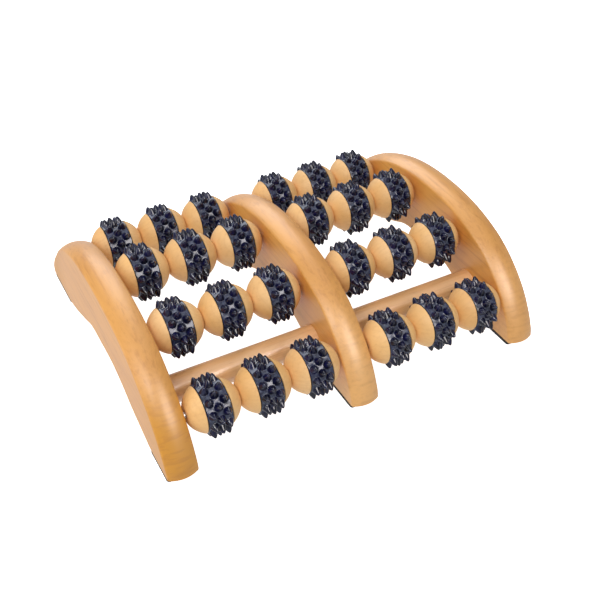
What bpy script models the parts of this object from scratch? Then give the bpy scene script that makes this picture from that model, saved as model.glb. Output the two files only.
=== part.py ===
"""Foot massage roller.

Three arched wooden rails stand on edge, side by side along X, on rubber pads.
A wooden dowel ties their front ends together. Four steel axle rods cross all three
rails and carry grooved wooden balls, and each ball wears a studded rubber ring and
spins freely on its rod. Front is -Y, up is +Z, and the pads rest on Z = 0.
"""

import math

import bmesh
import bpy

MM = 0.001

# Rails.
RAIL_NAMES = ("left", "centre", "right")
RAIL_SPACING = 125.0
RAIL_THICKNESS = 20.0
EDGE_DEPTH = 5.0
EDGE_ROUNDNESS = 2.3
ACROSS = (-1.0, -0.93, -0.7, 0.0, 0.7, 0.93, 1.0)

# Crown of a rail along its middle, as (y, z), from the front foot to the rear foot.
CROWN = (
    (-117.0, 2.2), (-115.4, 9.5), (-109.8, 21.3), (-101.2, 34.0), (-90.0, 45.4),
    (-77.0, 55.2), (-63.0, 62.3), (-45.5, 67.9), (-27.5, 71.2), (-10.0, 72.4),
    (7.5, 72.2), (25.5, 70.2), (42.5, 66.3), (58.5, 60.3), (73.5, 52.2),
    (87.0, 41.7), (98.8, 30.1), (109.5, 19.0), (116.0, 9.5), (117.0, 2.2),
)

# Underside of a rail between its two flat feet, as (y, z).
ARCH = (
    (-84.0, 2.2), (-73.0, 5.6), (-57.0, 10.6), (-41.0, 17.9), (-24.0, 22.7),
    (-3.0, 23.2), (16.0, 22.3), (32.0, 15.9), (54.0, 7.2), (72.0, 2.2),
)

# Rubber pads under the feet of the two outer rails.
PAD_THICKNESS = 1.9
PAD_WIDTH = 19.8
PAD_FRONT = (-113.0, -85.0)
PAD_REAR = (74.0, 113.0)
PAD_CORNER = 2.0

# Axle rows, equally spaced on an arc, front row first.
ROW_ARC_RADIUS = 178.0
ROW_ARC_Y = 1.4
ROW_ARC_Z = -121.1
ROW_ANGLES = (-32.4, -14.4, 3.6, 21.6)
ROD_RADIUS = 2.0
ROD_CHAMFER = 0.4
ROD_HOLE_RADIUS = 2.35
BLIND_DEPTH = 8.0

# Cross dowel between the two front rows.
DOWEL_Y = -63.0
DOWEL_Z = 21.3
DOWEL_RADIUS = 9.2
DOWEL_CHAMFER = 0.8
FIT_GAP = 0.3

# Rollers: three to a row in each bay. A ball is a little longer than it is wide, cut
# flat at both ends so that neighbours meet face to face.
COLUMNS = ("a", "b", "c")
ROLLER_PITCH = 34.0
BALL_RADIUS = 16.8
BALL_LONG_RADIUS = 18.0
BALL_HALF_LENGTH = 16.85
BALL_STATIONS = (8.3, 11.5, 14.5, 16.85)
BALL_BORE_RADIUS = 2.35
BALL_SEGMENTS = 12
GROOVE_HALF_WIDTH = 8.3
GROOVE_RADIUS = 12.3

# Studded rings: columns of studs across the width, staggered by half a stud.
RING_HALF_WIDTH = 8.0
RING_INNER_RADIUS = 12.6
RING_BASE_RADIUS = 14.9
RING_STUDS_AROUND = 12
RING_STUD_COLUMNS = 3
STUD_TIP_RADIUS = 19.5


def clear_scene():
    """Remove every object that was there before."""
    for old in list(bpy.data.objects):
        bpy.data.objects.remove(old, do_unlink=True)


def make_material(name, colour, roughness, metallic=0.0):
    """Make a Principled material."""
    material = bpy.data.materials.new(name)
    material.use_nodes = True
    shader = material.node_tree.nodes["Principled BSDF"]
    shader.inputs["Base Color"].default_value = (*colour, 1.0)
    shader.inputs["Roughness"].default_value = roughness
    shader.inputs["Metallic"].default_value = metallic
    return material


def make_object(name, points, faces, material, place=(0.0, 0.0, 0.0)):
    """Make one closed object from points in millimetres, with outward faces."""
    mesh = bpy.data.meshes.new(name)
    scaled = [(x * MM, y * MM, z * MM) for x, y, z in points]
    mesh.from_pydata(scaled, [], faces)
    shape = bmesh.new()
    shape.from_mesh(mesh)
    bmesh.ops.recalc_face_normals(shape, faces=shape.faces)
    shape.to_mesh(mesh)
    shape.free()
    if material is not None:
        mesh.materials.append(material)
    item = bpy.data.objects.new(name, mesh)
    item.location = (place[0] * MM, place[1] * MM, place[2] * MM)
    bpy.context.collection.objects.link(item)
    return item


def curve_point(points, index, share):
    """Point on the smooth curve through points, between index and index + 1."""
    last = len(points) - 1
    before = points[max(index - 1, 0)]
    start = points[index]
    end = points[min(index + 1, last)]
    after = points[min(index + 2, last)]
    result = []
    for axis in range(2):
        slope_a = (end[axis] - before[axis]) / 2.0
        slope_b = (after[axis] - start[axis]) / 2.0
        cube = 2.0 * start[axis] - 2.0 * end[axis] + slope_a + slope_b
        square = -3.0 * start[axis] + 3.0 * end[axis] - 2.0 * slope_a - slope_b
        value = ((cube * share + square) * share + slope_a) * share + start[axis]
        result.append(value)
    return tuple(result)


def smooth(points, steps):
    """Smooth curve through points, with steps pieces between each two."""
    path = []
    for index in range(len(points) - 1):
        for step in range(steps):
            path.append(curve_point(points, index, step / steps))
    path.append(points[-1])
    return path


def outward(path):
    """Unit normals of a path that runs from the front over the top to the rear."""
    normals = []
    last = len(path) - 1
    for index in range(len(path)):
        here = path[max(index - 1, 0)]
        there = path[min(index + 1, last)]
        run = there[0] - here[0]
        rise = there[1] - here[1]
        length = math.hypot(run, rise)
        normals.append((-rise / length, run / length))
    normals[0] = (-1.0, 0.0)
    normals[-1] = (1.0, 0.0)
    return normals


def edge_drop(share):
    """How far the rounded edge falls below the crown, at a share of half the thickness."""
    kept = max(1.0 - abs(share) ** EDGE_ROUNDNESS, 0.0)
    return EDGE_DEPTH * (1.0 - kept ** (1.0 / EDGE_ROUNDNESS))


def rail_body(name, x, material):
    """Arched board with a rounded crown and a square underside."""
    crown = smooth(CROWN, 1)
    normals = outward(crown)
    half = RAIL_THICKNESS / 2.0
    width = len(ACROSS)
    points = []
    for (y, z), (out_y, out_z) in zip(crown, normals):
        for share in ACROSS:
            drop = edge_drop(share)
            points.append((share * half, y - drop * out_y, z - drop * out_z))
    faces = []
    for row in range(len(crown) - 1):
        for column in range(width - 1):
            corner = row * width + column
            faces.append((corner, corner + 1, corner + width + 1, corner + width))
    start = len(points)
    for y, z in ARCH:
        points.append((-half, y, z))
        points.append((half, y, z))
    rear = (len(crown) - 1) * width
    left_under = [start + 2 * index for index in range(len(ARCH))]
    right_under = [start + 2 * index + 1 for index in range(len(ARCH))]
    left_side = [row * width for row in range(len(crown))] + left_under[::-1]
    right_side = [row * width + width - 1 for row in range(len(crown))] + right_under[::-1]
    faces.append(tuple(left_side))
    faces.append(tuple(right_side))
    for index in range(len(ARCH) - 1):
        faces.append((left_under[index], left_under[index + 1],
                      right_under[index + 1], right_under[index]))
    faces.append(tuple(range(width)) + (right_under[0], left_under[0]))
    faces.append(tuple(range(rear, rear + width)) + (right_under[-1], left_under[-1]))
    return make_object(name, points, faces, material, (x, 0.0, 0.0))


def turned_points(profile, segments, centre=(0.0, 0.0), offset=0):
    """Rings of points and the closed skin of a profile of (x, radius) turned about X."""
    points = []
    for x, radius in profile:
        for step in range(segments):
            angle = 2.0 * math.pi * step / segments
            y = centre[0] + radius * math.sin(angle)
            z = centre[1] + radius * math.cos(angle)
            points.append((x, y, z))
    faces = []
    for ring in range(len(profile) - 1):
        for step in range(segments):
            ahead = (step + 1) % segments
            low = offset + ring * segments
            high = low + segments
            faces.append((low + step, low + ahead, high + ahead, high + step))
    return points, faces


def bar_points(start, end, radius, chamfer, segments, centre, offset=0):
    """Round bar along X with chamfered ends."""
    profile = [(start, radius - chamfer), (start + chamfer, radius)]
    profile += [(end - chamfer, radius), (end, radius - chamfer)]
    if chamfer == 0.0:
        profile = [(start, radius), (end, radius)]
    points, faces = turned_points(profile, segments, centre, offset)
    faces.append(tuple(range(offset, offset + segments)))
    last = offset + len(points) - segments
    faces.append(tuple(range(last, last + segments)))
    return points, faces


def cut_holes(rail, holes):
    """Drill round holes along X, given as (start, end, radius, segments, y, z)."""
    points = []
    faces = []
    for start, end, radius, segments, y, z in holes:
        more, skin = bar_points(start, end, radius, 0.0, segments, (y, z), len(points))
        points += more
        faces += skin
    cutter = make_object("cutter", points, faces, None)
    drill = rail.modifiers.new("holes", "BOOLEAN")
    drill.operation = "DIFFERENCE"
    drill.solver = "EXACT"
    drill.object = cutter
    graph = bpy.context.evaluated_depsgraph_get()
    drilled = bpy.data.meshes.new_from_object(rail.evaluated_get(graph))
    rail.modifiers.clear()
    rail.data = drilled
    bpy.data.objects.remove(cutter, do_unlink=True)


def make_rail(side, x, rows, material):
    """One rail with its holes: blind from the inner face on the outer rails."""
    rail = rail_body(side + "_rail", x, material)
    half = RAIL_THICKNESS / 2.0
    depth = BLIND_DEPTH + FIT_GAP
    spans = {
        "left": (x + half - depth, x + half + 1.0),
        "centre": (x - half - 1.0, x + half + 1.0),
        "right": (x - half - 1.0, x - half + depth),
    }
    start, end = spans[side]
    holes = [(start, end, ROD_HOLE_RADIUS, 12, y, z) for y, z in rows]
    holes.append((start, end, DOWEL_RADIUS + FIT_GAP, 20, DOWEL_Y, DOWEL_Z))
    cut_holes(rail, holes)


def make_pad(name, x, span, material):
    """Flat rubber pad with clipped corners."""
    half = PAD_WIDTH / 2.0
    front, rear = span
    clip = PAD_CORNER
    outline = (
        (-half + clip, front), (half - clip, front), (half, front + clip),
        (half, rear - clip), (half - clip, rear), (-half + clip, rear),
        (-half, rear - clip), (-half, front + clip),
    )
    count = len(outline)
    points = [(px, py, 0.0) for px, py in outline]
    points += [(px, py, PAD_THICKNESS) for px, py in outline]
    faces = [tuple(range(count)), tuple(range(count, 2 * count))]
    for step in range(count):
        ahead = (step + 1) % count
        faces.append((step, ahead, count + ahead, count + step))
    make_object(name, points, faces, material, (x, 0.0, 0.0))


def make_bar(name, radius, chamfer, segments, centre, material):
    """Bar that ends in the blind holes of the two outer rails."""
    reach = RAIL_SPACING - RAIL_THICKNESS / 2.0 + BLIND_DEPTH
    points, faces = bar_points(-reach, reach, radius, chamfer, segments, (0.0, 0.0))
    make_object(name, points, faces, material, (0.0, centre[0], centre[1]))


def ball_profile():
    """Closed half-section of a ball with flat ends, a bore and a groove for its ring."""
    half = [(GROOVE_HALF_WIDTH, GROOVE_RADIUS)]
    for x in BALL_STATIONS:
        half.append((x, BALL_RADIUS * math.sqrt(1.0 - (x / BALL_LONG_RADIUS) ** 2)))
    half.append((BALL_HALF_LENGTH, BALL_BORE_RADIUS))
    left = [(-x, radius) for x, radius in half[::-1]]
    return left + half + [left[0]]


def make_ball(name, place, material):
    """Wooden ball with a groove for its ring and a bore for the rod."""
    profile = ball_profile()
    points, faces = turned_points(profile[:-1], BALL_SEGMENTS)
    last = len(points) - BALL_SEGMENTS
    for step in range(BALL_SEGMENTS):
        ahead = (step + 1) % BALL_SEGMENTS
        faces.append((last + step, last + ahead, ahead, step))
    make_object(name, points, faces, material, place)


def ring_angle(step, steps):
    """Angle of a step round the ring."""
    return 2.0 * math.pi * step / steps


def make_ring(name, place, material):
    """Rubber ring whose outer face is a checkerboard of pointed studs."""
    around = 2 * RING_STUDS_AROUND
    columns = RING_STUD_COLUMNS
    width = 2.0 * RING_HALF_WIDTH / columns
    points = []
    faces = []
    for column in range(columns + 1):
        for step in range(around):
            angle = ring_angle(step, around)
            x = -RING_HALF_WIDTH + column * width
            points.append((x, RING_BASE_RADIUS * math.sin(angle),
                           RING_BASE_RADIUS * math.cos(angle)))
    for column in range(columns):
        for step in range(around):
            ahead = (step + 1) % around
            low = column * around
            high = low + around
            cell = (low + step, low + ahead, high + ahead, high + step)
            if (column + step) % 2:
                faces.append(cell)
                continue
            tip = len(points)
            angle = ring_angle(step + 0.5, around)
            x = -RING_HALF_WIDTH + (column + 0.5) * width
            points.append((x, STUD_TIP_RADIUS * math.sin(angle),
                           STUD_TIP_RADIUS * math.cos(angle)))
            for corner in range(4):
                faces.append((cell[corner], cell[(corner + 1) % 4], tip))
    inner = len(points)
    for x in (-RING_HALF_WIDTH, RING_HALF_WIDTH):
        for step in range(BALL_SEGMENTS):
            angle = ring_angle(step, BALL_SEGMENTS)
            points.append((x, RING_INNER_RADIUS * math.sin(angle),
                           RING_INNER_RADIUS * math.cos(angle)))
    for step in range(BALL_SEGMENTS):
        ahead = (step + 1) % BALL_SEGMENTS
        left = inner
        right = inner + BALL_SEGMENTS
        faces.append((left + step, left + ahead, right + ahead, right + step))
        for wall, rim in ((left, 0), (right, columns * around)):
            first = rim + 2 * step
            middle = first + 1
            second = rim + (2 * step + 2) % around
            faces.append((wall + step, first, middle))
            faces.append((wall + step, middle, wall + ahead))
            faces.append((wall + ahead, middle, second))
    make_object(name, points, faces, material, place)


def row_places():
    """The (y, z) of each axle row, front row first."""
    rows = []
    for degrees in ROW_ANGLES:
        angle = math.radians(degrees)
        y = ROW_ARC_Y + ROW_ARC_RADIUS * math.sin(angle)
        z = ROW_ARC_Z + ROW_ARC_RADIUS * math.cos(angle)
        rows.append((y, z))
    return rows


def build():
    """Make every piece."""
    clear_scene()
    rail_wood = make_material("rail_wood", (0.66, 0.37, 0.14), 0.35)
    dowel_wood = make_material("dowel_wood", (0.74, 0.48, 0.26), 0.45)
    ball_wood = make_material("ball_wood", (0.72, 0.45, 0.22), 0.4)
    ring_rubber = make_material("ring_rubber", (0.02, 0.02, 0.05), 0.3)
    pad_rubber = make_material("pad_rubber", (0.02, 0.02, 0.02), 0.7)
    rod_steel = make_material("rod_steel", (0.72, 0.72, 0.74), 0.25, 1.0)
    rows = row_places()
    for index, side in enumerate(RAIL_NAMES):
        x = (index - 1) * RAIL_SPACING
        make_rail(side, x, rows, rail_wood)
        if side != "centre":
            make_pad(side + "_front_pad", x, PAD_FRONT, pad_rubber)
            make_pad(side + "_rear_pad", x, PAD_REAR, pad_rubber)
    make_bar("cross_dowel", DOWEL_RADIUS, DOWEL_CHAMFER, 20, (DOWEL_Y, DOWEL_Z), dowel_wood)
    for row, (y, z) in enumerate(rows, start=1):
        make_bar("axle_" + str(row), ROD_RADIUS, ROD_CHAMFER, 12, (y, z), rod_steel)
        for bay, side in ((-0.5, "left"), (0.5, "right")):
            for place, column in enumerate(COLUMNS):
                x = bay * RAIL_SPACING + (place - 1) * ROLLER_PITCH
                tag = side + "_" + str(row) + column
                make_ball("ball_" + tag, (x, y, z), ball_wood)
                make_ring("ring_" + tag, (x, y, z), ring_rubber)


build()
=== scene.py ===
import math

import bmesh
import bpy
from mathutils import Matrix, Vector


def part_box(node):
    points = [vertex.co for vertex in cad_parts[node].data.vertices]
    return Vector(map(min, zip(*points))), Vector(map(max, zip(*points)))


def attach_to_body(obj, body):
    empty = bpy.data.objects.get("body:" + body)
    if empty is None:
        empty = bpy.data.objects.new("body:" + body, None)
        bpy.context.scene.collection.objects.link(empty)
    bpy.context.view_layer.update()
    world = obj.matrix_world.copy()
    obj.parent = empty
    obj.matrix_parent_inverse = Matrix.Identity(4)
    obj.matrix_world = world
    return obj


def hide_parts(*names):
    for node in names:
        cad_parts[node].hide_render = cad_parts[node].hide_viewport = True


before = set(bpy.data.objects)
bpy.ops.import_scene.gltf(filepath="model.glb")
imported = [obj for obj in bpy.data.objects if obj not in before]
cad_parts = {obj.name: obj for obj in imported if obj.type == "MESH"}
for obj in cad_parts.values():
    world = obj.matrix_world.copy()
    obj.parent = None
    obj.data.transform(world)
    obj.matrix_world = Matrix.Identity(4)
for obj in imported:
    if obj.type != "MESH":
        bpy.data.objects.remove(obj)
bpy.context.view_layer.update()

MM = 0.001

# ---------------------------------------------------------------- measures, in millimetres

# Rails: the crown along the middle of the top, and the arch below, as (y, z) from front to rear.
RAIL_HALF = 10.0
CROWN = (
    (-117.0, 2.2), (-115.4, 9.5), (-109.8, 21.3), (-101.2, 34.0), (-90.0, 45.4),
    (-77.0, 55.2), (-63.0, 62.3), (-45.5, 67.9), (-27.5, 71.2), (-10.0, 72.4),
    (7.5, 72.2), (25.5, 70.2), (42.5, 66.3), (58.5, 60.3), (73.5, 52.2),
    (87.0, 41.7), (98.8, 30.1), (109.5, 19.0), (116.0, 9.5), (117.0, 2.2),
)
ARCH = (
    (-84.0, 2.2), (-73.0, 5.6), (-57.0, 10.6), (-41.0, 17.9), (-24.0, 22.7),
    (-3.0, 23.2), (16.0, 22.3), (32.0, 15.9), (54.0, 7.2), (72.0, 2.2),
)
CURVE_STEPS = 8
CROWN_SAG = 3.0
TOP_EDGE_WIDTH = 0.93
TOP_EDGE_DEPTH = 1.35
LOW_EDGE = 0.9
FOOT_Z = 2.2
END_Y = 117.0
CORNER = 0.9

# Near the feet the crown's roundness turns level over this distance.
EASE = 12.0
EASE_END = END_Y - CORNER - EASE
FRONT_FOOT_INNER = 88.0
REAR_FOOT_INNER = 78.0

# Stations from the middle of a rail to its side, closer together at the edge.
HALF_SHARES = (
    0.0, 0.15, 0.3, 0.45, 0.58, 0.7, 0.79, 0.85,
    0.885, 0.91, 0.935, 0.955, 0.972, 0.985, 0.994, 1.0,
)

# Rods and dowel. An eased end is (distance from the end, loss of radius).
ROD_RADIUS = 2.0
ROD_HOLE = 2.3
ROD_EASED = ((0.0, 0.5), (0.1, 0.25), (0.35, 0.05), (0.7, 0.0))
ROD_SHARES = (0.9, 0.75, 0.6, 0.45, 0.3, 0.15)
ROD_SIDES = 40
DOWEL_RADIUS = 9.2
DOWEL_HOLE = DOWEL_RADIUS + 0.2
DOWEL_EASED = ((0.0, 0.8), (0.25, 0.4), (0.8, 0.05), (1.2, 0.0))
DOWEL_SHARES = (0.96, 0.9, 0.8, 0.7, 0.6, 0.5, 0.4, 0.3, 0.2, 0.1)
DOWEL_SIDES = 96
HOLE_SIDES = 64
END_GAP = 0.3

BALL_RADIUS = 16.8
BALL_LONG_RADIUS = 18.0
BALL_HALF_LENGTH = 16.85
BALL_BORE = 2.3
BALL_STATIONS = 24
BALL_SIDES = 72
GROOVE_HALF = 8.25
GROOVE_RADIUS = 12.3

# Rings. The stud's profile is (radius, height above the skin).
RING_HALF = 8.0
RING_INNER = 12.6
RING_BASE = 14.9
RIM = 7.6
STUD_COLUMNS = 3
STUDS_AROUND = 12
STUD_SPREAD = 4.64
STUD_PROFILE = (
    (2.9, 0.03), (2.78, 0.16), (2.6, 0.5), (2.34, 1.2), (1.96, 2.1), (1.5, 3.0),
    (1.04, 3.75), (0.62, 4.25), (0.3, 4.48),
)
STUD_TIP = 4.57

PAD_CORNER = 2.0
FLOOR_HALF = 6000.0

# ---------------------------------------------------------------- tones, light and camera


def srgb(r, g, b):
    """Colour as seen on screen, 0 to 255, as a linear RGBA value."""
    def one(value):
        value = value / 255.0
        return value / 12.92 if value <= 0.04045 else ((value + 0.055) / 1.055) ** 2.4
    return (one(r), one(g), one(b), 1.0)


# Pale, middle and dark tone of each wood.
RAIL_TONES = (srgb(223, 160, 80), srgb(212, 147, 66), srgb(176, 108, 36))
DOWEL_TONES = (srgb(242, 192, 136), srgb(232, 176, 116), srgb(190, 124, 68))
BALL_PALES = (srgb(240, 193, 130), srgb(243, 198, 138), srgb(236, 187, 122))
BALL_MIDS = (srgb(231, 179, 109), srgb(235, 185, 117), srgb(227, 173, 103))
BALL_DARK = srgb(188, 124, 66)
BALL_LOOKS = 6

# Strength and colour of the tone at the ends of the left, centre and right rail: painted shade, deeper and
# darker, on the left rail's front, and painted light, paler, on the centre and right rails' feet.
RAIL_ENDS_PAINTED_LIGHT = (
    (1.0, srgb(208, 142, 38)),
    (0.55, srgb(244, 188, 116)),
    (0.5, srgb(236, 176, 102)),
)

GROUND_LIGHT = 0.92
SKY_LIGHT = 0.5
AIM = (0.0, 0.0, 0.03)

# Soft boxes: name, place, width and height in metres, watts, colour, and whether they give only gloss.
SOFT_BOXES = (
    ("key", (-0.60, -0.40, 1.10), (0.9, 0.9), 7.6, (1.0, 0.99, 0.97), False),
    ("left_fill", (-1.15, 0.10, 0.33), (0.8, 0.5), 3.6, (1.0, 0.99, 0.98), False),
    ("overhead", (0.30, 0.20, 1.10), (0.8, 0.8), 1.9, (1.0, 1.0, 1.0), False),
    ("front_glow", (0.17, -0.70, 0.58), (0.46, 0.46), 8.0, (1.0, 0.94, 0.9), True),
    ("spark", (-0.45, -0.55, 0.95), (0.14, 0.14), 2.6, (0.97, 0.98, 1.0), True),
    ("rear_glow", (0.24, 0.96, 0.80), (0.8, 1.0), 11.0, (0.9, 0.95, 1.0), True),
)

CAMERA_PLACE = (-0.2240, -0.4398, 0.4119)
CAMERA_AZIMUTH = -28.45
CAMERA_ELEVATION = 39.6
CAMERA_LENS = 53.04
CAMERA_SENSOR = 36.0


# ---------------------------------------------------------------- shapes

def smooth(points, steps):
    """Smooth curve through points, with steps pieces between each two."""
    last = len(points) - 1
    path = []
    for index in range(last):
        p0 = Vector(points[max(index - 1, 0)])
        p1 = Vector(points[index])
        p2 = Vector(points[index + 1])
        p3 = Vector(points[min(index + 2, last)])
        a = (p2 - p0) / 2.0
        b = (p3 - p1) / 2.0
        cubic = 2 * p1 - 2 * p2 + a + b
        square = 3 * p2 - 3 * p1 - 2 * a - b
        for step in range(steps):
            t = step / steps
            path.append((cubic * t + square) * t * t + a * t + p1)
    path.append(Vector(points[last]))
    return path


def tangents(path):
    """Unit tangents of an open path."""
    last = len(path) - 1
    return [(path[min(i + 1, last)] - path[max(i - 1, 0)]).normalized() for i in range(last + 1)]


def new_piece(name, points, faces, material, place=(0.0, 0.0, 0.0), turn=0.0):
    """Make a smooth piece from points in millimetres, turned about X."""
    mesh = bpy.data.meshes.new(name)
    mesh.from_pydata([(p[0] * MM, p[1] * MM, p[2] * MM) for p in points], [], faces)
    shape = bmesh.new()
    shape.from_mesh(mesh)
    bmesh.ops.recalc_face_normals(shape, faces=shape.faces)
    for face in shape.faces:
        face.smooth = True
    shape.to_mesh(mesh)
    shape.free()
    mesh.materials.append(material)
    piece = bpy.data.objects.new(name, mesh)
    bpy.context.collection.objects.link(piece)
    piece.location = place
    piece.rotation_euler.x = turn
    return piece


def attach(piece, body, node=None):
    """Let a piece ride on a body, in the place of a CAD node if one is named."""
    if node:
        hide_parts(node)
    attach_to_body(piece, body)


def weight_normals(piece):
    """Let the large flat faces set the shading at their rims."""
    weighted = piece.modifiers.new("normals", "WEIGHTED_NORMAL")
    weighted.mode = "FACE_AREA"
    weighted.weight = 100
    weighted.keep_sharp = True


def turned(profile, sides, closed=True):
    """Skin of a profile of (x, radius) turned about X."""
    points = []
    for x, radius in profile:
        for step in range(sides):
            angle = 2.0 * math.pi * step / sides
            points.append((x, radius * math.sin(angle), radius * math.cos(angle)))
    count = len(profile)
    faces = []
    for ring in range(count if closed else count - 1):
        low = ring * sides
        high = ((ring + 1) % count) * sides
        for step in range(sides):
            ahead = (step + 1) % sides
            faces.append((low + step, low + ahead, high + ahead, high + step))
    return points, faces


def capped(profile, sides):
    """Skin of a profile of (x, radius) turned about X, with a flat face at each end."""
    points, faces = turned(profile, sides, closed=False)
    faces.append(tuple(range(sides)))
    faces.append(tuple(range(len(points) - sides, len(points))))
    return points, faces


def middle(node):
    """Middle of a CAD node's box, in metres."""
    low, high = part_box(node)
    return (Vector(low) + Vector(high)) / 2.0


# ---------------------------------------------------------------- materials

class Nodes:
    """Short helper for building a node tree. place is the point on the piece."""

    def __init__(self, name):
        self.material = bpy.data.materials.new(name)
        self.material.use_nodes = True
        self.tree = self.material.node_tree
        self.shader = self.tree.nodes["Principled BSDF"]
        self.place = self.add("ShaderNodeTexCoord").outputs["Object"]

    def add(self, kind, inputs=None, **settings):
        node = self.tree.nodes.new(kind)
        for key, value in settings.items():
            setattr(node, key, value)
        for key, value in (inputs or {}).items():
            self.put(node.inputs[key], value)
        return node

    def put(self, socket, value):
        if isinstance(value, bpy.types.NodeSocket):
            self.tree.links.new(value, socket)
        else:
            socket.default_value = value

    def look(self, values):
        """Set the shader's inputs, by name."""
        for key, value in values.items():
            self.put(self.shader.inputs[key], value)

    def math(self, operation, a, b=0.0):
        return self.add("ShaderNodeMath", {0: a, 1: b}, operation=operation).outputs[0]

    def plus(self, a, b):
        return self.math("ADD", a, b)

    def minus(self, a, b):
        return self.math("SUBTRACT", a, b)

    def times(self, a, b):
        return self.math("MULTIPLY", a, b)

    def mix(self, factor, a, b):
        """Colour a where factor is 0, and b where it is 1."""
        node = self.add("ShaderNodeMix", data_type="RGBA")
        self.put(node.inputs[0], factor)
        self.put(node.inputs[6], a)
        self.put(node.inputs[7], b)
        return node.outputs[2]

    def ramp(self, value, low, high):
        """Smooth step from 0 at low to 1 at high."""
        node = self.add("ShaderNodeMapRange", {"Value": value, "From Min": low, "From Max": high})
        node.interpolation_type = "SMOOTHSTEP"
        return node.outputs[0]

    def noise(self, vector, scale, detail=3.0, rough=0.5, warp=0.0):
        node = self.add("ShaderNodeTexNoise", {
            "Vector": vector, "Scale": scale, "Detail": detail, "Roughness": rough, "Distortion": warp})
        return node.outputs[0]

    def stretch(self, vector, scale, shift=(0.0, 0.0, 0.0)):
        node = self.add("ShaderNodeMapping", {"Vector": vector, "Location": shift, "Scale": scale})
        return node.outputs[0]

    def parts(self, vector):
        """X, Y and Z of a vector."""
        return self.add("ShaderNodeSeparateXYZ", {0: vector}).outputs

    def bump(self, height, strength, distance):
        node = self.add("ShaderNodeBump", {"Height": height, "Strength": strength, "Distance": distance})
        return node.outputs[0]


def growth_rings(n, place, drift, along, gap):
    """Late wood of growth rings, gap metres apart and bent by drift: 0 to 1."""
    split = n.parts(place)
    cross = split[0] if along == "y" else split[1]
    bow = n.times(n.times(cross, cross), 6.0)
    depth = n.plus(split[2], bow)
    depth = n.plus(depth, n.times(n.minus(drift, 0.5), 0.014))
    phase = n.times(depth, 1.0 / gap)
    wave = n.math("FRACT", phase)
    late = n.minus(n.ramp(wave, 0.45, 0.97), n.ramp(wave, 0.97, 1.0))
    number = n.add("ShaderNodeCombineXYZ", {0: n.times(n.math("FLOOR", phase), 0.37)}).outputs[0]
    year = n.noise(number, 5.0, 0.0)
    return n.times(late, n.ramp(year, 0.2, 0.8))


def wood(name, tones, along, gap, gloss, coat, shift, fleck, figure, lines=1.0, ends=None):
    """Lacquered light wood.

    along is the grain's axis, gap the distance of the growth rings in metres, and shift moves the
    pattern. fleck, figure and lines are the strengths of the pores, the growth rings and the fine
    lines. ends is the strength and colour of a tone near both ends of a rail, painted light and shade
    that stand in for how the rail's ends are lit, where the wood's own bands show too.
    """
    n = Nodes(name)
    pale, mid, dark = tones
    place = n.stretch(n.place, (1.0, 1.0, 1.0), shift)

    def grain(share):
        """The place drawn out along the grain."""
        return n.stretch(place, (share, 1.0, 1.0) if along == "x" else (1.0, share, 1.0))

    drift = n.noise(grain(0.06), 28.0, 2.0, 0.5)
    late = growth_rings(n, place, drift, along, gap)
    cloud = n.noise(grain(0.3), 34.0, 3.0, 0.55)
    fibre = n.noise(grain(0.025), 900.0, 4.0, 0.65)
    pores = n.noise(grain(0.1), 1500.0, 2.0, 0.5)
    streak = n.noise(grain(0.05), 420.0, 3.0, 0.6)
    mottle = n.noise(grain(0.35), 150.0, 3.0, 0.6, 0.6)

    tone = n.mix(n.ramp(cloud, 0.28, 0.72), mid, pale)
    tone = n.mix(n.times(late, figure), tone, dark)
    tone = n.mix(n.times(n.ramp(streak, 0.48, 0.72), 0.4 * lines), tone, dark)
    tone = n.mix(n.times(n.ramp(mottle, 0.52, 0.75), 0.25 * lines), tone, dark)
    tone = n.mix(n.times(n.ramp(fibre, 0.5, 0.78), 0.24 * lines), tone, dark)
    tone = n.mix(n.times(n.ramp(pores, 0.62, 0.78), fleck), tone, dark)
    # Tone near both ends of the rail: painted shade on the left rail's front and painted light on the centre
    # and right rails' feet. The bands below are the wood's own figure.
    if ends:
        strength, tip = ends
        reach = n.ramp(n.math("ABSOLUTE", n.parts(n.place)[1]), 0.068, 0.108)
        tone = n.mix(n.times(reach, strength), tone, tip)
        bands = n.noise(n.stretch(place, (0.12, 0.6, 1.0)), 420.0, 2.0, 0.5)
        bands = n.times(n.ramp(bands, 0.46, 0.66), reach)
        tone = n.mix(n.times(bands, 0.05 + 0.27 * strength), tone, dark)

    rough = n.plus(gloss, n.times(n.minus(cloud, 0.5), 0.14))
    rough = n.plus(rough, n.times(fibre, 0.05))
    height = n.plus(n.times(fibre, 0.6), n.times(late, 0.25))
    height = n.minus(height, n.times(n.ramp(pores, 0.6, 0.78), 0.5))
    n.look({"Base Color": tone, "Roughness": rough, "Normal": n.bump(height, 0.25, 0.00006),
            "Coat Weight": coat, "Coat Roughness": 0.3})
    return n.material


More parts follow.
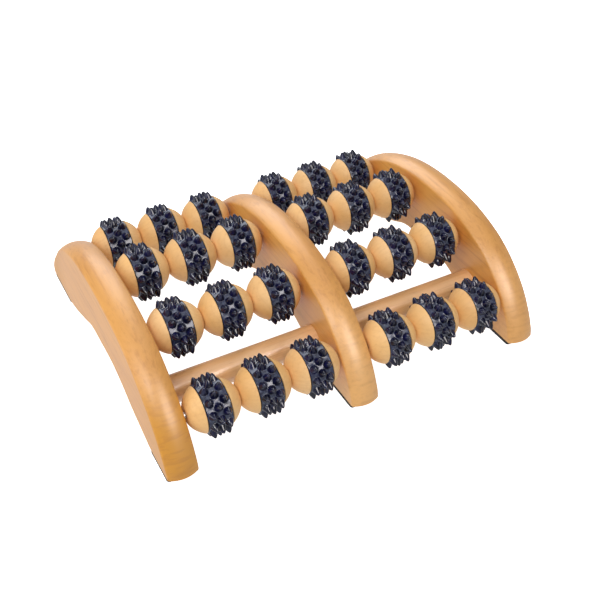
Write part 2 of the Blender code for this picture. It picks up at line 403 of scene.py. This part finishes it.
def navy_rubber():
    """Moulded rubber, dark navy, glossy on the studs, with the skin between them painted paler: partly its
    own grey navy, partly a painted reflection of the soft boxes.
    """
    n = Nodes("navy_rubber")
    cloud = n.noise(n.place, 160.0, 3.0, 0.6)
    grit = n.noise(n.place, 1400.0, 3.0, 0.6)
    dust_and_sheen_noise = n.noise(n.place, 420.0, 4.0, 0.7)
    split = n.parts(n.place)
    reach = n.math("SQRT", n.plus(n.times(split[1], split[1]), n.times(split[2], split[2])))
    skin = n.minus(1.0, n.ramp(reach, 0.01493, 0.0152))
    edge = n.ramp(n.math("ABSOLUTE", split[0]), 0.0073, 0.0077)
    skin = n.times(skin, n.minus(1.0, edge))
    tone = n.mix(n.ramp(cloud, 0.3, 0.75), srgb(6, 7, 26), srgb(19, 21, 66))
    # The skin between the studs is painted paler, in patches: its own grey navy tone plus a painted
    # reflection of the soft boxes. The same noise also gives faint pale dust flecks.
    skin_tone_and_painted_sheen = n.mix(n.ramp(dust_and_sheen_noise, 0.35, 0.7), srgb(34, 40, 66), srgb(112, 124, 150))
    tone = n.mix(n.times(skin, 0.34), tone, skin_tone_and_painted_sheen)
    tone = n.mix(n.times(n.ramp(dust_and_sheen_noise, 0.62, 0.8), 0.1), tone, srgb(92, 98, 124))
    rough = n.plus(0.08, n.times(cloud, 0.08))
    rough = n.plus(rough, n.times(skin, 0.12))
    rough = n.plus(rough, n.times(n.ramp(dust_and_sheen_noise, 0.55, 0.8), 0.1))
    height = n.plus(n.times(grit, 0.4), cloud)
    n.look({"Base Color": tone, "Roughness": rough, "Normal": n.bump(height, 0.25, 0.0001),
            "Specular IOR Level": 0.4, "Coat Weight": 0.12, "Coat Roughness": 0.06})
    return n.material


def pad_rubber():
    """Matt black rubber with a fine pebbled face."""
    n = Nodes("black_pad_rubber")
    cells = n.add("ShaderNodeTexVoronoi", {"Vector": n.place, "Scale": 1600.0}).outputs["Distance"]
    cloud = n.noise(n.place, 200.0, 3.0, 0.6)
    n.look({"Base Color": n.mix(cloud, srgb(18, 18, 20), srgb(44, 43, 46)),
            "Roughness": n.plus(0.55, n.times(cloud, 0.25)),
            "Normal": n.bump(cells, 0.5, 0.0001)})
    return n.material


def steel():
    """Bright drawn steel with fine lines along the rod."""
    n = Nodes("rod_steel")
    lines = n.noise(n.stretch(n.place, (0.01, 1.0, 1.0)), 6000.0, 3.0, 0.6)
    cloud = n.noise(n.place, 120.0, 3.0, 0.5)
    n.look({"Base Color": n.mix(cloud, srgb(176, 174, 170), srgb(216, 215, 212)),
            "Metallic": 1.0,
            "Roughness": n.plus(0.16, n.times(lines, 0.16)),
            "Normal": n.bump(lines, 0.2, 0.00003)})
    return n.material


# ---------------------------------------------------------------- rails

def crown_drop(share):
    """Fall of the top below its middle line: a shallow crown that rolls over into the side."""
    x = abs(share) * RAIL_HALF
    inner = RAIL_HALF - TOP_EDGE_WIDTH
    if x <= inner:
        return CROWN_SAG * (x / RAIL_HALF) ** 2
    base = CROWN_SAG * (inner / RAIL_HALF) ** 2
    reach = (x - inner) / (RAIL_HALF - inner)
    slope = 2.0 * CROWN_SAG * inner / RAIL_HALF ** 2 * (RAIL_HALF - inner)
    roll = 1.0 - math.sqrt(max(1.0 - reach * reach, 0.0))
    return base + slope * reach + (TOP_EDGE_DEPTH - slope * 0.5) * roll


def low_rise(share):
    """Rise of the underside at its eased edges."""
    x = abs(share) * RAIL_HALF
    inner = RAIL_HALF - LOW_EDGE
    if x <= inner:
        return 0.0
    reach = (x - inner) / LOW_EDGE
    return LOW_EDGE * (1.0 - math.sqrt(max(1.0 - reach * reach, 0.0)))


def rail_stations():
    """Closed outline of a rail: (y, z, way the crown drops, way the underside rises)."""
    still = Vector((0.0, 0.0))
    upward = Vector((0.0, 1.0))
    frontward = Vector((-1.0, 0.0))
    rearward = Vector((1.0, 0.0))
    stations = []
    crown = smooth(CROWN, CURVE_STEPS)
    for point, run in zip(crown, tangents(crown)):
        if point.y < FOOT_Z + CORNER:
            continue
        level = frontward if point.x < 0 else rearward
        blend = min((point.y - FOOT_Z) / EASE, 1.0)
        outward = (level * (1.0 - blend) + Vector((-run.y, run.x)) * blend).normalized()
        stations.append((point.x, point.y, -outward, still))
    front_corner = []
    for step in range(4):
        angle = math.radians(90.0 * step / 3.0)
        inset = CORNER * (1.0 - math.cos(angle))
        z = FOOT_Z + CORNER * (1.0 - math.sin(angle))
        rise = Vector((0.0, math.sin(angle)))
        stations.append((END_Y - inset, z, frontward, rise))
        front_corner.append((inset - END_Y, z, rearward, rise))
    for step in range(1, 6):
        share = step / 6.0
        stations.append((END_Y - CORNER - EASE * share, FOOT_Z, frontward * (1.0 - share), upward))
    for step in range(4):
        y = EASE_END - (EASE_END - REAR_FOOT_INNER) * step / 3.0
        stations.append((y, FOOT_Z, still, upward))
    arch = smooth(ARCH, CURVE_STEPS)[::-1]
    for point, run in zip(arch, tangents(arch)):
        stations.append((point.x, point.y, still, Vector((run.y, -run.x))))
    for step in range(3):
        y = -FRONT_FOOT_INNER - (EASE_END - FRONT_FOOT_INNER) * step / 2.0
        stations.append((y, FOOT_Z, still, upward))
    for step in range(1, 6):
        share = step / 6.0
        stations.append((-EASE_END - EASE * share, FOOT_Z, rearward * share, upward))
    return stations + front_corner[::-1]


def rail_mesh():
    """Points and faces of one rail without its holes."""
    shares = [-share for share in HALF_SHARES[:0:-1]] + list(HALF_SHARES)
    stations = rail_stations()
    width = len(shares)
    points = []
    for y, z, crown_way, low_way in stations:
        for share in shares:
            inset = crown_way * crown_drop(share) + low_way * low_rise(share)
            points.append((share * RAIL_HALF, y + inset.x, z + inset.y))
    faces = []
    count = len(stations)
    for row in range(count):
        low = row * width
        high = (row + 1) % count * width
        for column in range(width - 1):
            faces.append((low + column, low + column + 1, high + column + 1, high + column))
    faces.append(tuple(row * width for row in range(count)))
    faces.append(tuple(row * width + width - 1 for row in range(count)))
    return points, faces


def drill(piece, holes):
    """Cut round holes along X, each (start, end, radius, y, z), in millimetres."""
    points = []
    faces = []
    for start, end, radius, y, z in holes:
        skin, sides = capped([(start, radius), (end, radius)], HOLE_SIDES)
        offset = len(points)
        points += [(px, py + y, pz + z) for px, py, pz in skin]
        faces += [tuple(offset + corner for corner in side) for side in sides]
    cutter = new_piece("cutter", points, faces, piece.data.materials[0])
    cut = piece.modifiers.new("holes", "BOOLEAN")
    cut.operation = "DIFFERENCE"
    cut.solver = "EXACT"
    cut.object = cutter
    graph = bpy.context.evaluated_depsgraph_get()
    shape = bpy.data.meshes.new_from_object(piece.evaluated_get(graph))
    piece.modifiers.clear()
    old = piece.data
    piece.data = shape
    bpy.data.meshes.remove(old)
    bpy.data.objects.remove(cutter, do_unlink=True)


def make_rails():
    """The three arched rails, drilled through in the centre one and from inside in the outer ones."""
    rows = [middle("axle_" + str(row)) / MM for row in range(1, 5)]
    dowel = middle("cross_dowel") / MM
    hole_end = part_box("axle_1")[1][0] / MM + END_GAP
    points, faces = rail_mesh()
    for index, side in enumerate(("left", "centre", "right")):
        node = side + "_rail"
        centre = middle(node)
        look = wood(node + "_wood", RAIL_TONES, "y", gap=0.0023, gloss=0.42, coat=0.25,
                    shift=(0.0, 0.31 * index, 0.011 * index), fleck=0.25, figure=0.07,
                    ends=RAIL_ENDS_PAINTED_LIGHT[index])
        rail = new_piece(node + "_shape", points, faces, look, (centre.x, 0.0, 0.0))
        start = -RAIL_HALF - 1.0
        end = RAIL_HALF + 1.0
        if side == "left":
            start = -hole_end - centre.x / MM
        if side == "right":
            end = hole_end - centre.x / MM
        holes = [(start, end, ROD_HOLE, row.y, row.z) for row in rows]
        holes.append((start, end, DOWEL_HOLE, dowel.y, dowel.z))
        drill(rail, holes)
        weight_normals(rail)
        attach(rail, "frame", node)


# ---------------------------------------------------------------- rollers

def ball_radius(x):
    """Radius of a ball's skin at x from its middle."""
    return BALL_RADIUS * math.sqrt(1.0 - (x / BALL_LONG_RADIUS) ** 2)


def ball_profile():
    """Closed half-section of a ball with a bore, flat ends, a groove and eased edges."""
    end = BALL_HALF_LENGTH
    rim = ball_radius(end)
    half = [(end - 5.0, BALL_BORE), (end - 0.35, BALL_BORE), (end - 0.1, BALL_BORE + 0.1)]
    half += [(end, BALL_BORE + 0.35), (end, rim - 0.7), (end - 0.03, rim - 0.3)]
    first = end - 0.25
    last = GROOVE_HALF + 0.42
    for step in range(BALL_STATIONS + 1):
        share = math.sin(math.radians(90.0 * step / BALL_STATIONS))
        x = first + (last - first) * share
        half.append((x, ball_radius(x)))
    edge = ball_radius(GROOVE_HALF)
    half += [(GROOVE_HALF + 0.22, edge - 0.06), (GROOVE_HALF + 0.08, edge - 0.22), (GROOVE_HALF, edge - 0.5)]
    half += [(GROOVE_HALF, GROOVE_RADIUS + 0.3), (GROOVE_HALF - 0.15, GROOVE_RADIUS)]
    return [(-x, radius) for x, radius in half] + half[::-1]


def make_balls(tags, turns):
    """Wooden balls, in a few slightly different woods."""
    points, faces = turned(ball_profile(), BALL_SIDES)
    looks = []
    for index in range(BALL_LOOKS):
        tones = (BALL_PALES[index % 3], BALL_MIDS[(index + index // 3) % 3], BALL_DARK)
        looks.append(wood("ball_wood_" + str(index), tones, "x", gap=0.0031, gloss=0.56, coat=0.08,
                          shift=(0.05 * index, 0.013 * index, 0.02 * index), fleck=0.14, figure=0.1,
                          lines=0.4))
    for index, tag in enumerate(tags):
        node = "ball_" + tag
        look = looks[(index * 5 + index // 4) % BALL_LOOKS]
        ball = new_piece(node + "_shape", points, faces, look, middle(node), turns[index] * 2.7)
        attach(ball, "roller_" + tag, node)


def stud_cell(column):
    """Border of a stud's own cell on the skin, as (x, degrees) from its centre, and its first bearing.

    The middle column's cells are hexagons. Those of the outer columns reach to the rim.
    """
    half = 180.0 / STUDS_AROUND
    arc_half = math.radians(half) * RING_BASE
    point = (STUD_SPREAD ** 2 + arc_half ** 2) / (2.0 * STUD_SPREAD)
    shoulder = (STUD_SPREAD ** 2 - arc_half ** 2) / (2.0 * STUD_SPREAD)
    inward = [(-shoulder, half), (-point, 0.0), (-shoulder, -half)]
    if column == 1:
        corners = [(point, 0.0), (shoulder, half)] + inward + [(shoulder, -half)]
        counts = (5, 1, 5, 5, 1, 5)
        first = 0.0
    else:
        rim = RIM - STUD_SPREAD
        corners = [(rim, -half), (rim, half)] + inward
        counts = (8, 3, 5, 5, 3)
        first = -60.0
    if column == 0:
        corners = [(-x, -degrees) for x, degrees in corners]
        first = 120.0
    border = []
    for index, count in enumerate(counts):
        x0, degrees0 = corners[index]
        x1, degrees1 = corners[(index + 1) % len(corners)]
        for step in range(count):
            share = step / count
            border.append((x0 + (x1 - x0) * share, degrees0 + (degrees1 - degrees0) * share))
    return border, first


class RingSkin:
    """Skin of a ring. Faces that meet share their points."""

    def __init__(self):
        self.points = []
        self.faces = []
        self.index_of = {}

    def at(self, x, degrees, radius):
        """Index of the point there, made if it is new."""
        angle = math.radians(degrees)
        key = (round(x, 3), round(degrees % 360.0, 2) % 360.0, round(radius, 3))
        if key not in self.index_of:
            self.index_of[key] = len(self.points)
            self.points.append((x, radius * math.sin(angle), radius * math.cos(angle)))
        return self.index_of[key]

    def band(self, low, high):
        """Faces between two loops of the same count."""
        count = len(low)
        for step in range(count):
            ahead = (step + 1) % count
            self.faces.append((low[step], low[ahead], high[ahead], high[step]))

    def stud(self, centre_x, centre, border, first):
        """One stud, growing from the border of its cell to a blunt tip."""
        count = len(border)
        loop = [self.at(centre_x + x, centre + degrees, RING_BASE) for x, degrees in border]
        for radius, height in STUD_PROFILE:
            per_degree = math.radians(1.0) * (RING_BASE + height)
            inner = []
            for step in range(count):
                bearing = math.radians(first + 360.0 * step / count)
                inner.append(self.at(centre_x + radius * math.cos(bearing),
                                     centre + radius * math.sin(bearing) / per_degree,
                                     RING_BASE + height))
            self.band(loop, inner)
            loop = inner
        tip = self.at(centre_x, centre, RING_BASE + STUD_TIP)
        for step in range(count):
            self.faces.append((loop[step], loop[(step + 1) % count], tip))


def ring_mesh():
    """Points and faces of one studded ring."""
    skin = RingSkin()
    for column in range(STUD_COLUMNS):
        border, first = stud_cell(column)
        stagger = 0.5 if column == 1 else 0.0
        for stud in range(STUDS_AROUND):
            centre = (stud + stagger) * 360.0 / STUDS_AROUND
            skin.stud((column - 1) * STUD_SPREAD, centre, border, first)
    steps = 8 * STUDS_AROUND
    shift = -180.0 / STUDS_AROUND
    edge = ((RIM, RING_BASE), (RIM + 0.2, RING_BASE - 0.06), (RIM + 0.34, RING_BASE - 0.2),
            (RING_HALF, RING_BASE - 0.45), (RING_HALF, RING_INNER + 1.0), (RING_HALF, RING_INNER + 0.2),
            (RING_HALF - 0.15, RING_INNER))
    inner = []
    for sign in (1.0, -1.0):
        loops = []
        for x, radius in edge:
            loops.append([skin.at(sign * x, shift + 360.0 * step / steps, radius) for step in range(steps)])
        for low, high in zip(loops, loops[1:]):
            skin.band(low, high)
        inner.append(loops[-1])
    skin.band(inner[0], inner[1])
    return skin.points, skin.faces


def make_rings(tags, turns):
    """Studded rubber rings."""
    look = navy_rubber()
    points, faces = ring_mesh()
    for index, tag in enumerate(tags):
        node = "ring_" + tag
        ring = new_piece(node + "_shape", points, faces, look, middle(node), turns[index])
        weight_normals(ring)
        attach(ring, "roller_" + tag, node)


# ---------------------------------------------------------------- rods, dowel and pads

def make_bar(node, look, radius, eased, shares, sides):
    """Round bar along X with eased ends."""
    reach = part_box(node)[1][0] / MM
    half = [(reach - back, radius - loss) for back, loss in eased]
    half += [(reach * share, radius) for share in shares]
    profile = [(-x, around) for x, around in half] + half[::-1]
    points, faces = capped(profile, sides)
    bar = new_piece(node + "_shape", points, faces, look, middle(node))
    weight_normals(bar)
    attach(bar, "frame", node)


def make_bars():
    """Steel rods and the wooden cross dowel."""
    bright = steel()
    for row in range(1, 5):
        make_bar("axle_" + str(row), bright, ROD_RADIUS, ROD_EASED, ROD_SHARES, ROD_SIDES)
    look = wood("dowel_wood", DOWEL_TONES, "x", gap=0.0036, gloss=0.4, coat=0.7,
                shift=(0.2, 0.004, 0.002), fleck=0.3, figure=0.25)
    make_bar("cross_dowel", look, DOWEL_RADIUS, DOWEL_EASED, DOWEL_SHARES, DOWEL_SIDES)


def pad_mesh(length, width, thickness):
    """Rounded rubber pad, its middle on the origin and its underside on zero."""
    outline = []
    for sign_x, sign_y, start in ((1, 1, 0.0), (-1, 1, 90.0), (-1, -1, 180.0), (1, -1, 270.0)):
        x = sign_x * (width / 2.0 - PAD_CORNER)
        y = sign_y * (length / 2.0 - PAD_CORNER)
        for step in range(7):
            angle = math.radians(start + 15.0 * step)
            outline.append((x, y, math.cos(angle), math.sin(angle)))
    levels = ((0.0, -0.25), (0.06, -0.1), (0.2, 0.0),
              (thickness - 0.4, 0.0), (thickness - 0.12, -0.12), (thickness, -0.4))
    points = []
    for z, grow in levels:
        radius = PAD_CORNER + grow
        points += [(x + across * radius, y + ahead * radius, z) for x, y, across, ahead in outline]
    count = len(outline)
    faces = [tuple(range(count)), tuple(range(len(points) - count, len(points)))]
    for level in range(len(levels) - 1):
        low = level * count
        high = low + count
        for step in range(count):
            ahead = (step + 1) % count
            faces.append((low + step, low + ahead, high + ahead, high + step))
    return points, faces


def make_pads():
    """Six rubber pads: four stand for CAD nodes, and two are under the centre rail."""
    look = pad_rubber()
    for end in ("front", "rear"):
        low, high = (Vector(corner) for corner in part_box("left_" + end + "_pad"))
        size = (high - low) / MM
        points, faces = pad_mesh(size.y, size.x, size.z)
        for side in ("left", "centre", "right"):
            node = side + "_" + end + "_pad"
            place = (middle(side + "_rail").x, (low.y + high.y) / 2.0, 0.0)
            pad = new_piece(node + "_shape", points, faces, look, place)
            weight_normals(pad)
            attach(pad, "frame", None if side == "centre" else node)


# ---------------------------------------------------------------- floor, light, camera

def make_floor():
    """Plain white floor, bright enough to lose its shadows."""
    n = Nodes("pale_floor")
    cloud = n.noise(n.place, 3.0, 2.0, 0.5)
    n.look({"Base Color": n.mix(cloud, (0.90, 0.90, 0.90, 1.0), (0.93, 0.93, 0.93, 1.0)),
            "Roughness": 0.9, "Specular IOR Level": 0.1,
            "Emission Color": (1.0, 1.0, 1.0, 1.0), "Emission Strength": 1.0})
    half = FLOOR_HALF
    points = [(-half, -half, 0.0), (half, -half, 0.0), (half, half, 0.0), (-half, half, 0.0)]
    floor = new_piece("floor", points, [(0, 1, 2, 3)], n.material)
    floor.visible_diffuse = False
    floor.visible_glossy = False


def make_world():
    """Surround: paler below and dimmer above, and never dimmer than white to the camera."""
    world = bpy.data.worlds.new("studio")
    world.use_nodes = True
    tree = world.node_tree
    background = tree.nodes["Background"]
    place = tree.nodes.new("ShaderNodeTexCoord")
    split = tree.nodes.new("ShaderNodeSeparateXYZ")
    span = tree.nodes.new("ShaderNodeMapRange")
    span.interpolation_type = "SMOOTHSTEP"
    span.inputs["From Min"].default_value = -0.25
    span.inputs["From Max"].default_value = 0.3
    span.inputs["To Min"].default_value = GROUND_LIGHT
    span.inputs["To Max"].default_value = SKY_LIGHT
    path = tree.nodes.new("ShaderNodeLightPath")
    seen = tree.nodes.new("ShaderNodeMath")
    seen.operation = "MAXIMUM"
    tree.links.new(place.outputs["Generated"], split.inputs[0])
    tree.links.new(split.outputs["Z"], span.inputs["Value"])
    tree.links.new(span.outputs["Result"], seen.inputs[0])
    tree.links.new(path.outputs["Is Camera Ray"], seen.inputs[1])
    background.inputs["Color"].default_value = (0.97, 0.99, 1.03, 1.0)
    tree.links.new(seen.outputs[0], background.inputs["Strength"])
    bpy.context.scene.world = world


def make_lights():
    """Six soft boxes. Those that give only gloss do not light the matt looks."""
    for name, place, size, watts, colour, only_gloss in SOFT_BOXES:
        data = bpy.data.lights.new(name, "AREA")
        data.shape = "RECTANGLE"
        data.size, data.size_y = size
        data.energy = watts
        data.color = colour
        light = bpy.data.objects.new(name, data)
        light.location = place
        light.rotation_euler = (Vector(place) - Vector(AIM)).to_track_quat("Z", "Y").to_euler()
        light.visible_diffuse = not only_gloss
        bpy.context.collection.objects.link(light)


def make_camera():
    """Camera above the left front corner, looking down on the part."""
    azimuth = math.radians(CAMERA_AZIMUTH)
    elevation = math.radians(CAMERA_ELEVATION)
    back = Vector((math.sin(azimuth) * math.cos(elevation), -math.cos(azimuth) * math.cos(elevation),
                   math.sin(elevation)))
    data = bpy.data.cameras.new("camera")
    data.sensor_width = CAMERA_SENSOR
    data.lens = CAMERA_LENS
    data.clip_start = 0.02
    data.clip_end = 50.0
    camera = bpy.data.objects.new("camera", data)
    camera.location = CAMERA_PLACE
    camera.rotation_euler = (-back).to_track_quat("-Z", "Y").to_euler()
    bpy.context.collection.objects.link(camera)
    bpy.context.scene.camera = camera


def make_scene():
    """Build everything. Each roller rests at a turn of its own."""
    tags = []
    for row in range(1, 5):
        for side in ("left", "right"):
            tags += [side + "_" + str(row) + column for column in "abc"]
    turns = [math.radians((index * 47.0 + (index % 5) * 19.0 + 8.0) % 360.0) for index in range(len(tags))]
    make_rails()
    make_balls(tags, turns)
    make_rings(tags, turns)
    make_bars()
    make_pads()
    make_floor()
    make_world()
    make_lights()
    make_camera()
    view = bpy.context.scene.view_settings
    view.view_transform = "Standard"
    view.look = "None"


make_scene()

bpy.context.view_layer.update()
